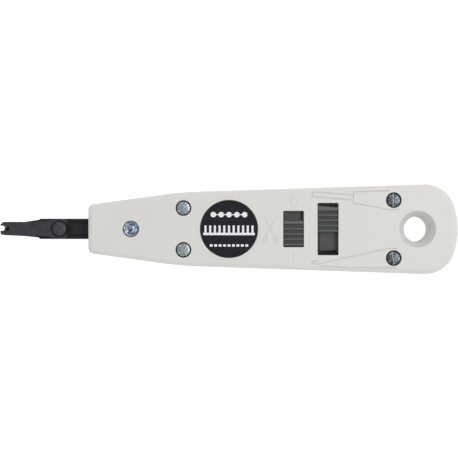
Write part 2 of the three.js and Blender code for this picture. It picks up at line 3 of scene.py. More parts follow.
import bmesh
import bpy
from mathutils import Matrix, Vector

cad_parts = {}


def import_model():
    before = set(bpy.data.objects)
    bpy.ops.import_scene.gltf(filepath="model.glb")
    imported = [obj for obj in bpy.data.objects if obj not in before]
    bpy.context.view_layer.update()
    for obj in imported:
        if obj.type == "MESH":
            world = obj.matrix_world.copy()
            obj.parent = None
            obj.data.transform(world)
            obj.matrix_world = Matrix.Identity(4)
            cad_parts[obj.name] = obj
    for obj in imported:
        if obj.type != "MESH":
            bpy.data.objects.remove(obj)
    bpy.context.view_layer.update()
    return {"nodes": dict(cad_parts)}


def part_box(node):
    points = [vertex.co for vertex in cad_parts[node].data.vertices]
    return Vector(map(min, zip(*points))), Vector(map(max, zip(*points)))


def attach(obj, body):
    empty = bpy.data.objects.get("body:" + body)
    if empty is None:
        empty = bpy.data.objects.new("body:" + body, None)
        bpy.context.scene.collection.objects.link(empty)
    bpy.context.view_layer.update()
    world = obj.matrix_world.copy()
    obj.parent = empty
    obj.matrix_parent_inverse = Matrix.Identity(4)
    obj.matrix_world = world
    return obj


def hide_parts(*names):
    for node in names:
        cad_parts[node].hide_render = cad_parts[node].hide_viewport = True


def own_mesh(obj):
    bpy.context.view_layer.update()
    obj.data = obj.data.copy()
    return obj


# Looks of the punch down tool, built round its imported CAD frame. Sizes are in millimetres in the
# row frame: +X from the head to the hanging hole, +Z out of the front face, Z = 0 at the back.

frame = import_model()

MM = 0.001


def box_mm(node):
    """Lowest and highest corner of a CAD node, in millimetres."""
    low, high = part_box(node)
    return low / MM, high / MM


def centre_mm(node):
    low, high = box_mm(node)
    return (low + high) / 2


# ---------------------------------------------------------------- driving dimensions

FRONT_Z = box_mm("front_shell")[1].z
FRONT_LOW_Z = box_mm("front_shell")[0].z
PARTING_GAP = 0.1
REAR_TOP_Z = FRONT_LOW_Z - PARTING_GAP
POST_TOP_Z = box_mm("rear_shell")[1].z
WALL = 2.0
EDGE_R = 2.0
BITE = 0.5
ROOF_JOIN_Z = FRONT_Z - WALL + BITE
FLOOR_JOIN_Z = WALL - BITE
OUTSIDE_Y = 20
NOSE_X = box_mm("front_shell")[0].x
NOSE_HALF = 9.55
NOSE_CORNER_R = 2.1
NECK = (-25.0, 13.27)
WAIST = (-10.0, 14.45)
SIDE_LEAN = 0.033
TAIL_ARC_R = 30.0
TAIL_ARC_X = box_mm("front_shell")[1].x - TAIL_ARC_R
TAIL_CORNER = (75.4, 5.6)
HANG_X = 72.3
HANG_BORE_R = 4.9
HANG_SINK_R = 6.95
HANG_SINK_DEPTH = 4.0
LABEL_R = 11.0
SWITCH_WINDOW = (20.9, 28.8, -6.95, 6.95)
RELEASE_WINDOW = (34.05, 42.05, -10.0, 10.0)
RIDGE_PITCH = 2.0
RIDGE_TOP_Z = box_mm("cutter_switch")[1].z
PAD_Z = 18.0
FLANGE_LOW_Z = 14.7
FLANGE_TOP_Z = 16.1
TONGUE_Z = (15, 16.8)
RIDGE_HALF = 0.3
GROOVE_WIDTH = 0.42
SIGN_DEPTH = 0.2
COUNTERBORE_R = 3.0
SCREW_BOSS_R = 3.4
HANG_BOSS_R = 7.4
GUIDE_BOSS_R = 4
GUIDE_RECESS_R = 3.15
GUIDE_RECESS_DEPTH = 1.3
RIVET_HOLE_R = 1.7
SCREW_TURNS = {"front_upper": -45, "front_lower": 75, "rear_upper": 90, "rear_lower": 100}
TOOL_SLOT_X = (29.0, 80.0)
TOOL_SLOT_INNER_Y = 11.6
TOOL_SLOT_Z = (8.0, 11.0)
SEAT_RIB_X = (17.9, 19.9)
RAIL = (-51, -34, 2.4, 3.8)
RAIL_TOP_Z = 6.9
RELEASE_POST = (36.2, 39.8, 6.9, 7.9)
TIP_X = box_mm("front_blade")[0].x
PIVOT_X = centre_mm("head_rivet").x
GUIDE_X = centre_mm("guide_rivet").x


# ---------------------------------------------------------------- mesh helpers

def arc(cx, cy, r, start, end, steps):
    """Points on a circle from one angle to another, both ends included."""
    angles = [start + (end - start) * k / steps for k in range(steps + 1)]
    return [(cx + r * math.cos(a), cy + r * math.sin(a)) for a in angles]


def quadratic(p0, p1, p2, steps):
    """Points on a quadratic Bezier curve after its first point."""
    points = []
    for k in range(1, steps + 1):
        t = k / steps
        s = 1 - t
        points.append(tuple(s * s * a + 2 * s * t * b + t * t * c for a, b, c in zip(p0, p1, p2)))
    return points


def at_height(outline, z):
    return [(x, y, z) for x, y in outline]


def new_object(name, vertices, faces):
    mesh = bpy.data.meshes.new(name)
    mesh.from_pydata([Vector(v) * MM for v in vertices], [], faces)
    solid = bmesh.new()
    solid.from_mesh(mesh)
    bmesh.ops.recalc_face_normals(solid, faces=solid.faces)
    solid.to_mesh(mesh)
    solid.free()
    piece = bpy.data.objects.new(name, mesh)
    bpy.context.scene.collection.objects.link(piece)
    shade(piece)
    return piece


def shade(piece):
    """Smooth shading, with sharper edges left hard."""
    hard_angle = 30
    piece.data.shade_smooth()
    piece.data.set_sharp_from_angle(angle=math.radians(hard_angle))


def loft(name, rings, closed=False):
    """A closed skin over rings of equal length; open ends get a flat cap."""
    count = len(rings[0])
    vertices = [point for ring in rings for point in ring]
    faces = []
    spans = len(rings) if closed else len(rings) - 1
    for i in range(spans):
        a = i * count
        b = (i + 1) % len(rings) * count
        for k in range(count):
            m = (k + 1) % count
            faces.append((a + k, a + m, b + m, b + k))
    if not closed:
        faces.append(tuple(reversed(range(count))))
        faces.append(tuple(range(len(vertices) - count, len(vertices))))
    return new_object(name, vertices, faces)


def prism(name, outline, z0, z1):
    return loft(name, [at_height(outline, z0), at_height(outline, z1)])


def rectangle(x0, x1, y0, y1, corner=0.0):
    """A rectangle's outline, anticlockwise, with round corners if corner is given."""
    if corner <= 0:
        return [(x0, y0), (x1, y0), (x1, y1), (x0, y1)]
    steps = 5
    right = math.pi / 2
    points = arc(x0 + corner, y0 + corner, corner, 2 * right, 3 * right, steps)
    points += arc(x1 - corner, y0 + corner, corner, 3 * right, 4 * right, steps)
    points += arc(x1 - corner, y1 - corner, corner, 0, right, steps)
    points += arc(x0 + corner, y1 - corner, corner, right, 2 * right, steps)
    return points


def block(name, x0, x1, y0, y1, z0, z1, corner=0.0):
    return prism(name, rectangle(x0, x1, y0, y1, corner), z0, z1)


def circle(x, y, r, steps=48):
    return arc(x, y, r, 0, 2 * math.pi, steps)[:-1]


def turned(name, profile, x=0.0, y=0.0, steps=64):
    """A body of revolution; the profile of (radius, z) runs upwards and may start and end on the axis."""
    vertices = []
    faces = []
    rings = []
    for r, z in profile:
        if r <= 0:
            rings.append([len(vertices)])
            vertices.append((x, y, z))
        else:
            rings.append(list(range(len(vertices), len(vertices) + steps)))
            vertices += at_height(circle(x, y, r, steps), z)
    for low, high in zip(rings, rings[1:]):
        for k in range(steps):
            m = (k + 1) % steps
            if len(low) == 1:
                faces.append((low[0], high[m], high[k]))
            elif len(high) == 1:
                faces.append((low[k], low[m], high[0]))
            else:
                faces.append((low[k], low[m], high[m], high[k]))
    if profile[0][0] > 0:
        first, last = rings[0], rings[-1]
        for k in range(steps):
            m = (k + 1) % steps
            faces.append((last[k], last[m], first[m], first[k]))
    return new_object(name, vertices, faces)


def bake(piece):
    """The piece's modifiers become its mesh."""
    graph = bpy.context.evaluated_depsgraph_get()
    mesh = bpy.data.meshes.new_from_object(piece.evaluated_get(graph))
    piece.modifiers.clear()
    piece.data = mesh


def combine(piece, others, operation):
    for other in others:
        step = piece.modifiers.new("combine", "BOOLEAN")
        step.operation = operation
        step.solver = "MANIFOLD"
        step.object = other
    bake(piece)
    for other in others:
        bpy.data.objects.remove(other, do_unlink=True)
    shade(piece)
    return piece


def merge_flat(piece):
    """Joins coplanar faces, so that no slivers are left where solids end flush."""
    flat_angle = math.radians(0.5)
    solid = bmesh.new()
    solid.from_mesh(piece.data)
    bmesh.ops.dissolve_limit(solid, angle_limit=flat_angle, verts=solid.verts, edges=solid.edges)
    solid.to_mesh(piece.data)
    solid.free()
    shade(piece)
    return piece


def cut(piece, tools):
    return combine(piece, tools, "DIFFERENCE")


def join(piece, others):
    return combine(piece, others, "UNION")


def soften(piece, width, angle=35, edge_slot=-1):
    """Rounds a piece's hard edges; edge_slot gives the rounded faces their own material slot."""
    bevel = piece.modifiers.new("soften", "BEVEL")
    bevel.width = width * MM
    bevel.segments = 2
    bevel.limit_method = "ANGLE"
    bevel.angle_limit = math.radians(angle)
    bevel.harden_normals = False
    bevel.material = edge_slot
    weight_normals(piece)
    return piece


def weight_normals(piece):
    weighted = piece.modifiers.new("normals", "WEIGHTED_NORMAL")
    weighted.keep_sharp = True
    return piece


# ---------------------------------------------------------------- materials

class Nodes:
    """A small helper for building one material's node tree."""

    def __init__(self, name):
        self.material = bpy.data.materials.new(name)
        self.material.use_nodes = True
        self.tree = self.material.node_tree
        self.shader = self.tree.nodes["Principled BSDF"]
        self.position = self.add("ShaderNodeTexCoord").outputs["Object"]

    def add(self, kind, **settings):
        node = self.tree.nodes.new(kind)
        for key, value in settings.items():
            setattr(node, key, value)
        return node

    def link(self, source, target):
        self.tree.links.new(source, target)

    def noise(self, scale, detail=3.0, stretch=None):
        """Noise with scale in features per metre; stretch multiplies each axis."""
        node = self.add("ShaderNodeTexNoise")
        node.inputs["Scale"].default_value = scale
        node.inputs["Detail"].default_value = detail
        node.inputs["Roughness"].default_value = 0.55
        source = self.position
        if stretch:
            mapping = self.add("ShaderNodeMapping")
            mapping.inputs["Scale"].default_value = stretch
            self.link(source, mapping.inputs["Vector"])
            source = mapping.outputs["Vector"]
        self.link(source, node.inputs["Vector"])
        return node.outputs["Fac"]

    def ramp(self, value, low, high, at=(0.3, 0.7)):
        """Maps a value onto two colours or two numbers."""
        node = self.add("ShaderNodeValToRGB")
        for element, colour, place in zip(node.color_ramp.elements, (low, high), at):
            element.position = place
            element.color = (*colour, 1) if isinstance(colour, tuple) else (colour,) * 3 + (1,)
        self.link(value, node.inputs["Fac"])
        return node.outputs["Color"]

    def math(self, operation, first, second):
        node = self.add("ShaderNodeMath", operation=operation)
        for slot, value in zip(node.inputs, (first, second)):
            if isinstance(value, (int, float)):
                slot.default_value = value
            else:
                self.link(value, slot)
        return node.outputs["Value"]

    def mix(self, factor, first, second):
        node = self.add("ShaderNodeMix", data_type="RGBA")
        self.link(factor, node.inputs["Factor"])
        self.link(first, node.inputs["A"])
        self.link(second, node.inputs["B"])
        return node.outputs["Result"]

    def axis(self, name):
        node = self.add("ShaderNodeSeparateXYZ")
        self.link(self.position, node.inputs["Vector"])
        return node.outputs[name]

    def beyond(self, axis, level, blend):
        """0 up to a level in metres along an axis, and 1 from blend beyond it."""
        node = self.add("ShaderNodeMapRange")
        self.link(self.axis(axis), node.inputs["Value"])
        node.inputs["From Min"].default_value = level
        node.inputs["From Max"].default_value = level + blend
        return node.outputs["Result"]

    def radius(self):
        """Distance from the piece's own vertical axis."""
        flat = self.add("ShaderNodeVectorMath", operation="MULTIPLY")
        flat.inputs[1].default_value = (1, 1, 0)
        self.link(self.position, flat.inputs[0])
        length = self.add("ShaderNodeVectorMath", operation="LENGTH")
        self.link(flat.outputs["Vector"], length.inputs[0])
        return length.outputs["Value"]

    def bump(self, height, strength, distance):
        node = self.add("ShaderNodeBump")
        node.inputs["Strength"].default_value = strength
        node.inputs["Distance"].default_value = distance * MM
        self.link(height, node.inputs["Height"])
        self.link(node.outputs["Normal"], self.shader.inputs["Normal"])

    def set(self, name, value):
        if isinstance(value, (int, float)):
            self.shader.inputs[name].default_value = value
        else:
            self.link(value, self.shader.inputs[name])


def housing_material():
    n = Nodes("housing_plastic")
    tone = n.noise(28, detail=2)
    n.set("Base Color", n.ramp(tone, (0.655, 0.648, 0.622), (0.675, 0.668, 0.642)))
    n.set("Roughness", n.ramp(n.noise(900), 0.42, 0.54))
    n.bump(n.noise(5200, detail=4), 0.22, 0.02)
    return n.material


def switch_material():
    n = Nodes("switch_plastic")
    tone = n.ramp(n.noise(700), (0.034, 0.039, 0.043), (0.044, 0.049, 0.053))
    # Ridge tops above z 18.6 mm get a lighter colour: part wear, part painted highlight where the ridges
    # catch the light.
    ridge_wear_and_highlight = n.ramp(n.noise(1800, detail=4), (0.078, 0.080, 0.079), (0.115, 0.117, 0.114))
    tongue = n.ramp(n.noise(500), (0.044, 0.0435, 0.042), (0.060, 0.059, 0.057))
    pad = n.mix(n.beyond("Z", 0.0186, 0.0002), tone, ridge_wear_and_highlight)
    n.set("Base Color", n.mix(n.beyond("Z", 0.0169, 0.0001), tongue, pad))
    n.set("Roughness", n.ramp(n.noise(2200), 0.36, 0.5))
    n.bump(n.noise(6000), 0.15, 0.02)
    return n.material


def label_material():
    n = Nodes("label_plastic")
    n.set("Base Color", n.ramp(n.noise(240), (0.010, 0.010, 0.014), (0.014, 0.014, 0.019)))
    n.set("Roughness", n.ramp(n.noise(1600), 0.4, 0.5))
    n.set("Specular IOR Level", 0.15)
    n.bump(n.noise(3500), 0.06, 0.01)
    return n.material


def print_material():
    n = Nodes("label_ink")
    n.set("Base Color", n.ramp(n.noise(5000), (0.72, 0.72, 0.73), (0.86, 0.86, 0.87)))
    n.set("Roughness", n.ramp(n.noise(3000), 0.4, 0.55))
    n.bump(n.noise(9000), 0.1, 0.01)
    return n.material


def steel_material(name, dark, light, roughness, metallic):
    """Flat stock with a fine grain along its length and cloudy staining."""
    n = Nodes(name)
    cloud = n.noise(420, detail=5)
    n.set("Base Color", n.ramp(cloud, dark, light))
    n.set("Metallic", metallic)
    streaks = n.noise(1500, detail=4, stretch=(0.12, 1, 1))
    n.set("Roughness", n.ramp(streaks, roughness - 0.08, roughness + 0.08))
    n.bump(streaks, 0.12, 0.02)
    return n.material


def blade_material():
    """Burnished steel, darker at the round end beyond the rivet."""
    n = Nodes("blade_steel")
    steel = n.ramp(n.noise(420, detail=5), (0.048, 0.050, 0.058), (0.068, 0.071, 0.081))
    black = n.ramp(n.noise(700), (0.014, 0.0145, 0.017), (0.022, 0.023, 0.027))
    n.set("Base Color", n.mix(n.beyond("X", (PIVOT_X + 2.2) * MM, 0.001), steel, black))
    n.set("Metallic", 0.75)
    streaks = n.noise(1500, detail=4, stretch=(0.12, 1, 1))
    n.set("Roughness", n.ramp(streaks, 0.32, 0.48))
    n.bump(streaks, 0.12, 0.02)
    return n.material


def turned_material(name, dark, light, roughness, metallic=1.0):
    """Lathe-turned metal with fine rings about the piece's axis."""
    n = Nodes(name)
    wobble = n.math("MULTIPLY", n.noise(300, detail=2), 0.0004)
    waves = n.math("MULTIPLY", n.math("ADD", n.radius(), wobble), 24000)
    rings = n.math("SINE", waves, 0)
    blotches = n.noise(900, detail=4)
    n.set("Base Color", n.ramp(blotches, dark, light, at=(0.38, 0.62)))
    n.set("Metallic", metallic)
    n.set("Roughness", n.ramp(n.noise(2500), roughness - 0.07, roughness + 0.07))
    n.bump(n.math("ADD", rings, n.math("MULTIPLY", blotches, 30)), 0.08, 0.01)
    return n.material


housing_plastic = housing_material()
switch_plastic = switch_material()
label_plastic = label_material()
label_ink = print_material()
black_steel = steel_material("black_steel", (0.006, 0.0065, 0.008), (0.0135, 0.0145, 0.017), 0.47, 0.35)
grey_steel = steel_material("grey_steel", (0.046, 0.048, 0.056), (0.068, 0.071, 0.081), 0.4, 0.75)
blade_steel = blade_material()
# Lighter steel for the front blade's rounded edges: part wear, part painted highlight along the edges.
edge_wear_and_highlight_steel = steel_material("edge_wear_and_highlight_steel", (0.08, 0.083, 0.09), (0.14, 0.145, 0.155), 0.36, 0.8)
tool_steel = steel_material("tool_steel", (0.46, 0.47, 0.49), (0.60, 0.61, 0.63), 0.3, 1.0)
# One zinc in two copies: the front screws get the brighter one as painted highlight, the rear screws the
# darker one as painted shade.
zinc = turned_material("zinc", (0.24, 0.30, 0.36), (0.50, 0.56, 0.61), 0.4)
rear_zinc_painted_shade = turned_material("rear_zinc_painted_shade", (0.05, 0.065, 0.09), (0.24, 0.26, 0.30), 0.36)
rivet_zinc = turned_material("rivet_zinc", (0.07, 0.10, 0.18), (0.50, 0.56, 0.63), 0.34)
# Lighter zinc for the floors of the screw slots: a painted highlight.
slot_highlight_zinc = turned_material("slot_highlight_zinc", (0.42, 0.46, 0.40), (0.58, 0.61, 0.53), 0.45, 0.6)
spring_steel = turned_material("spring_steel", (0.26, 0.27, 0.28), (0.38, 0.39, 0.41), 0.32)
brass = turned_material("brass", (0.50, 0.34, 0.12), (0.66, 0.47, 0.20), 0.3)


def fit(piece, body, slot, *materials):
    """Gives a piece its materials and its CAD body; slot is not used."""
    piece.data.materials.clear()
    for material in materials:
        piece.data.materials.append(material)
    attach(piece, body)
    return piece


# ---------------------------------------------------------------- housing

def housing_outline(inset):
    """The housing's outline, anticlockwise from the nose, moved inwards by inset."""
    right = math.pi / 2
    corner_r = max(NOSE_CORNER_R - inset, 0.9)
    tail_r = TAIL_ARC_R - math.hypot(TAIL_CORNER[0] - TAIL_ARC_X, TAIL_CORNER[1]) - inset
    meet = math.atan2(TAIL_CORNER[1], TAIL_CORNER[0] - TAIL_ARC_X)
    bend = ((NECK[0] + WAIST[0]) / 2, inset - (NECK[1] + WAIST[1]) / 2 - 0.35)
    neck = (NECK[0], inset - NECK[1])
    waist = (WAIST[0], inset - WAIST[1])
    corner = (NOSE_X + inset + corner_r, corner_r + inset - NOSE_HALF)
    lower = arc(*corner, corner_r, math.pi, 3 * right - 0.14, 12)
    lower += [neck]
    lower += quadratic(neck, bend, waist, 8)
    lower += arc(TAIL_CORNER[0], -TAIL_CORNER[1], tail_r, -right - SIDE_LEAN, -meet, 20)
    lower += arc(TAIL_ARC_X, 0, TAIL_ARC_R - inset, -meet, 0, 10)[1:]
    return lower + [(x, -y) for x, y in reversed(lower[:-1])]


def shell_rings(edge_z, parting_z):
    """Rings of one half's outer skin, in rising order, chamfered at the parting line."""
    steps = 12
    outward = 1 if edge_z > parting_z else -1
    chamfer = 0.15
    centre_z = edge_z - outward * EDGE_R
    rings = [at_height(housing_outline(chamfer), parting_z)]
    rings.append(at_height(housing_outline(0), parting_z + outward * chamfer))
    for k in range(steps + 1):
        a = math.pi / 2 * k / steps
        inset = EDGE_R * (1 - math.cos(a))
        rings.append(at_height(housing_outline(inset), centre_z + outward * EDGE_R * math.sin(a)))
    return rings if outward > 0 else rings[::-1]


def flared(name, outline_at, z_low, lip=0.1):
    """A cutter for an opening in the front face, with a small chamfer at its lip."""
    rings = [
        at_height(outline_at(0), z_low),
        at_height(outline_at(0), FRONT_Z - lip),
        at_height(outline_at(2 * lip), FRONT_Z + lip),
    ]
    return loft(name, rings)


def window_cutter(window):
    x0, x1, y0, y1 = window
    corner = 0.35
    low_z = 16
    return flared("window", lambda g: rectangle(x0 - g, x1 + g, y0 - g, y1 + g, corner + g), low_z)


def hanging_hole():
    over = 0.5
    over_r = HANG_SINK_R + over * (HANG_SINK_R - HANG_BORE_R) / HANG_SINK_DEPTH
    profile = [
        (0, -over),
        (over_r + 0.3, -over),
        (HANG_SINK_R, 0.12),
        (HANG_BORE_R + 0.12, HANG_SINK_DEPTH - 0.15),
        (HANG_BORE_R, HANG_SINK_DEPTH + 0.1),
        (HANG_BORE_R, FRONT_Z - HANG_SINK_DEPTH - 0.1),
        (HANG_BORE_R + 0.12, FRONT_Z - HANG_SINK_DEPTH + 0.15),
        (HANG_SINK_R, FRONT_Z - 0.12),
        (over_r + 0.3, FRONT_Z + over),
        (0, FRONT_Z + over),
    ]
    return turned("hanging_hole", profile, HANG_X, 0, 96)


def shared_cutters():
    """Openings cut the same way in both shells."""
    passage_half = 4.1
    passage_z = (6.8, 11.2)
    guide_hole_r = 2.1
    return [
        block("passage", NOSE_X - 1, NOSE_X + WALL + 1, -passage_half, passage_half, *passage_z, 0.3),
        block("upper_slot", *TOOL_SLOT_X, TOOL_SLOT_INNER_Y, OUTSIDE_Y, *TOOL_SLOT_Z),
        block("lower_slot", *TOOL_SLOT_X, -OUTSIDE_Y, -TOOL_SLOT_INNER_Y, *TOOL_SLOT_Z),
        prism("guide_hole", circle(GUIDE_X, 0, guide_hole_r), -1, FRONT_Z + 1),
        hanging_hole(),
    ]


def groove(path, depth=0.32, closed=False):
    """A cutter for an engraved line in the front face, with sloping sides."""
    over = 0.3
    sections = []
    count = len(path)
    for i, (x, y) in enumerate(path):
        before = path[i - 1] if i or closed else path[i]
        after = path[(i + 1) % count] if i < count - 1 or closed else path[i]
        ahead = Vector(after) - Vector((x, y))
        behind = Vector((x, y)) - Vector(before)
        ahead = ahead.normalized() if ahead.length else behind.normalized()
        behind = behind.normalized() if behind.length else ahead
        along = (ahead + behind).normalized()
        stretch = 1 / max(along.dot(ahead), 0.5)
        side = Vector((-along.y, along.x)) * stretch
        section = []
        for reach, z in ((1, over), (0.35, -depth), (-0.35, -depth), (-1, over)):
            widening = 1 + over / depth if abs(reach) == 1 else 1
            offset = side * reach * GROOVE_WIDTH / 2 * widening
            section.append((x + offset.x, y + offset.y, FRONT_Z + z))
        sections.append(section)
    return loft("groove", sections, closed)


def ring_groove(x, y, r, width, depth, top=FRONT_Z):
    """A cutter for a round groove with sloping sides."""
    over = 0.1
    half = width / 2
    profile = [
        (r - half, top + over),
        (r - half / 3, top - depth),
        (r + half / 3, top - depth),
        (r + half, top + over),
    ]
    return turned("ring_groove", profile, x, y, 96)


def ellipse(x, y, rx, ry):
    steps = 28
    angles = [2 * math.pi * k / steps for k in range(steps)]
    return [(x + rx * math.cos(a), y + ry * math.sin(a)) for a in angles]


def scissors_sign(x, y):
    """Pictogram of scissors pointing up: two crossing blades and two finger loops."""
    lines = []
    for side in (-1, 1):
        lines.append(groove([(x - side * 2.2, y + 4.3), (x + side * 1.75, y - 3.1)], depth=SIGN_DEPTH))
        loop = ellipse(x + side * 1.95, y - 4.3, 0.65, 1.2)
        lines.append(groove(loop, depth=SIGN_DEPTH, closed=True))
    return lines


def on_off_signs(x):
    """The generic signs O and I beyond the two ends of the switch's travel."""
    return [
        groove(ellipse(x, 10.4, 1.2, 1.65), depth=SIGN_DEPTH, closed=True),
        groove([(x, -12.25), (x, -8.95)], depth=SIGN_DEPTH),
    ]


def stowed_blade_lines():
    """Engraved outline of the fold-out blade."""
    tip = [(34.4, 14.15), (31.96, 14.23), (31.96, 12.3), (34.4, 12.3)]
    upper_shank = [(34.4, 14.1), (47.6, 13.05)]
    lower_shank = [(34.2, 12.2), (47.45, 11.1)]
    heel = [(61.5, 14.7), (47.9, 14.27), (47.5, 9.98), (59.9, 7.65)]
    return [
        groove(tip),
        groove(upper_shank),
        groove(lower_shank),
        groove(heel + quadratic((59.9, 7.65), (62.2, 7.2), (65.1, 7.65), 8)),
    ]


def stowed_hook_lines():
    """Engraved outline of the fold-out hook."""
    upper = [(31.7, -13.1)]
    upper += quadratic((31.7, -13.1), (33.0, -13.8), (35.7, -13.2), 8)
    upper += [(37.96, -12.55), (42.55, -11.4), (59.35, -7.8)]
    upper += quadratic((59.35, -7.8), (61.4, -7.3), (64.4, -7.45), 6)
    lower = [(34.9, -14.2), (44.5, -14.7), (63.8, -14.85)]
    barb = [(31.7, -13.1)] + quadratic((31.7, -13.1), (32.2, -12.0), (33.8, -12.2), 6)
    return [groove(upper), groove(lower), groove(barb)]


SCREW_PLACES = {corner: centre_mm(f"screw_{corner}") for corner in SCREW_TURNS}
LABEL_AT = centre_mm("label_disc")


def rib_pairs(ribs, z0):
    """Ribs and posts moulded inside a shell, alike on both sides of its centre line."""
    solids = []
    for x0, x1, y0, y1, z1 in ribs:
        solids.append(block("rib", x0, x1, y0, y1, z0, z1))
        solids.append(block("rib", x0, x1, -y1, -y0, z0, z1))
    return solids


def cavity(z0, z1):
    """A cutter that leaves a shell's side wall."""
    inner = housing_outline(WALL)
    return loft("cavity", [at_height(inner, z0), at_height(inner, z1)])


def front_bosses():
    """Bosses, posts and ribs moulded under the front face."""
    guide_boss_low = 14.8
    link_x, link_post_r, link_post_low = -20, 1.5, 12.6
    bosses = []
    for place in SCREW_PLACES.values():
        foot = TOOL_SLOT_Z[1] if place.x > 0 else FRONT_LOW_Z
        bosses.append(prism("boss", circle(place.x, place.y, SCREW_BOSS_R), foot, ROOF_JOIN_Z))
    bosses.append(prism("hang_boss", circle(HANG_X, 0, HANG_BOSS_R, 64), FRONT_LOW_Z, ROOF_JOIN_Z))
    bosses.append(prism("guide_boss", circle(GUIDE_X, 0, GUIDE_BOSS_R), guide_boss_low, ROOF_JOIN_Z))
    bosses.append(block("rib", 31.3, 32.1, -9, 9, FLANGE_LOW_Z, ROOF_JOIN_Z))
    bosses.append(prism("link_post", circle(link_x, 0, link_post_r, 24), link_post_low, ROOF_JOIN_Z))
    return bosses + rib_pairs([(*SEAT_RIB_X, 6, 9, ROOF_JOIN_Z)], FRONT_LOW_Z)


def screw_cutters(place):
    """Counterbore, shank hole and the moat round the shank for one screw."""
    at = (place.x, place.y)
    moat_in, moat_low, moat_top = 2.45, 13.5, 16.7
    moat = [(moat_in, moat_low), (COUNTERBORE_R, moat_low), (COUNTERBORE_R, moat_top), (moat_in, moat_top)]
    return [
        flared("counterbore", lambda g: circle(*at, COUNTERBORE_R + g), 16.6, 0.12),
        prism("shank_hole", circle(*at, 1.6, 24), 5, 17),
        turned("moat", moat, *at),
    ]


def front_shell():
    label_gap, label_depth = 0.15, 0.55
    body = loft("front_shell_moulding", shell_rings(FRONT_Z, FRONT_LOW_Z))
    cut(body, [cavity(FRONT_LOW_Z - 1, FRONT_Z - WALL)])
    join(body, front_bosses())
    tools = shared_cutters()
    for place in SCREW_PLACES.values():
        tools += screw_cutters(place)
    guide_low = FRONT_Z - GUIDE_RECESS_DEPTH
    tools.append(flared("guide_recess", lambda g: circle(GUIDE_X, 0, GUIDE_RECESS_R + g), guide_low, 0.08))
    tools.append(flared(
        "label_recess",
        lambda g: circle(LABEL_AT.x, 0, LABEL_R + label_gap + g, 96),
        FRONT_Z - label_depth,
    ))
    tools.append(ring_groove(-0.1, 0, r=12.15, width=0.35, depth=0.07))
    tools += [window_cutter(SWITCH_WINDOW), window_cutter(RELEASE_WINDOW)]
    tools += scissors_sign(15.8, 0.3) + on_off_signs(24.85)
    tools += stowed_blade_lines() + stowed_hook_lines()
    cut(body, tools)
    weight_normals(body)
    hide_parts("front_shell")
    return fit(body, "housing", "housing_plastic", housing_plastic)


def rear_bosses():
    """Bosses, posts, rails and ribs moulded on the floor of the rear shell."""
    bosses = []
    for place in SCREW_PLACES.values():
        top = TOOL_SLOT_Z[0] if place.x > 0 else REAR_TOP_Z
        bosses.append(prism("boss", circle(place.x, place.y, SCREW_BOSS_R), FLOOR_JOIN_Z, top))
    bosses.append(prism("hang_boss", circle(HANG_X, 0, HANG_BOSS_R, 64), FLOOR_JOIN_Z, REAR_TOP_Z))
    bosses.append(prism("guide_boss", circle(GUIDE_X, 0, GUIDE_BOSS_R), FLOOR_JOIN_Z, RAIL_TOP_Z))
    ribs = [
        (*RAIL, RAIL_TOP_Z),
        (*SEAT_RIB_X, 3, 9, REAR_TOP_Z),
        (*RELEASE_POST, POST_TOP_Z),
    ]
    bosses += rib_pairs(ribs, FLOOR_JOIN_Z)
    bosses.append(block("leaf_post", 44.4, 45.9, -2.5, 2.5, FLOOR_JOIN_Z, REAR_TOP_Z))
    bosses.append(block("leaf_post", 47.6, 49, -2, 2, FLOOR_JOIN_Z, REAR_TOP_Z))
    return bosses


def rear_shell():
    insert_hole_r, insert_hole_z = 2.05, (2.5, 12)
    body = loft("rear_shell_moulding", shell_rings(0, REAR_TOP_Z))
    cut(body, [cavity(WALL, REAR_TOP_Z + 1)])
    join(body, rear_bosses())
    tools = shared_cutters()
    for place in SCREW_PLACES.values():
        tools.append(prism("insert_hole", circle(place.x, place.y, insert_hole_r, 24), *insert_hole_z))
    tools.append(prism("guide_recess", circle(GUIDE_X, 0, GUIDE_RECESS_R), -1, GUIDE_RECESS_DEPTH))
    cut(body, tools)
    weight_normals(body)
    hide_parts("rear_shell")
    return fit(body, "housing", "housing_plastic", housing_plastic)


# ---------------------------------------------------------------- label

def label():
    top = FRONT_Z - 0.07
    low = FRONT_Z - 0.5
    profile = [(0, low), (LABEL_R, low), (LABEL_R, top - 0.12), (LABEL_R - 0.12, top), (0, top)]
    disc = turned("label_plate", profile, 0, 0, 96)
    disc.location = Vector((LABEL_AT.x, LABEL_AT.y, 0)) * MM
    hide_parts("label_disc")
    fit(disc, "housing", "label_plastic", label_plastic)
    return label_print(top)


def label_print(base):
    """Generic white marks: a row of joined dots, a comb and a row of dashes."""
    low, high = base - 0.03, base + 0.03
    x0 = LABEL_AT.x
    marks = []
    dots = [x0 + 3.0 * k for k in range(-2, 3)]
    marks.append(rectangle(dots[0], dots[-1], 5.32, 5.68))
    marks += [circle(x, 5.5, 1.05, 24) for x in dots]
    marks.append(rectangle(x0 - 9.9, x0 + 9.9, -2.35, -1.45, 0.15))
    for k in range(11):
        x = x0 - 9 + 1.8 * k
        marks.append(rectangle(x - 0.4, x + 0.4, -1.6, 1.35))
    for k in range(9):
        x = x0 - 6.8 + 1.7 * k
        marks.append(rectangle(x - 0.55, x + 0.55, -6.75, -5.85, 0.2))
    first = prism("label_marks", marks[0], low, high)
    join(first, [prism("mark", outline, low, high) for outline in marks[1:]])
    return fit(first, "housing", "label_plastic", label_ink)


# ---------------------------------------------------------------- fasteners

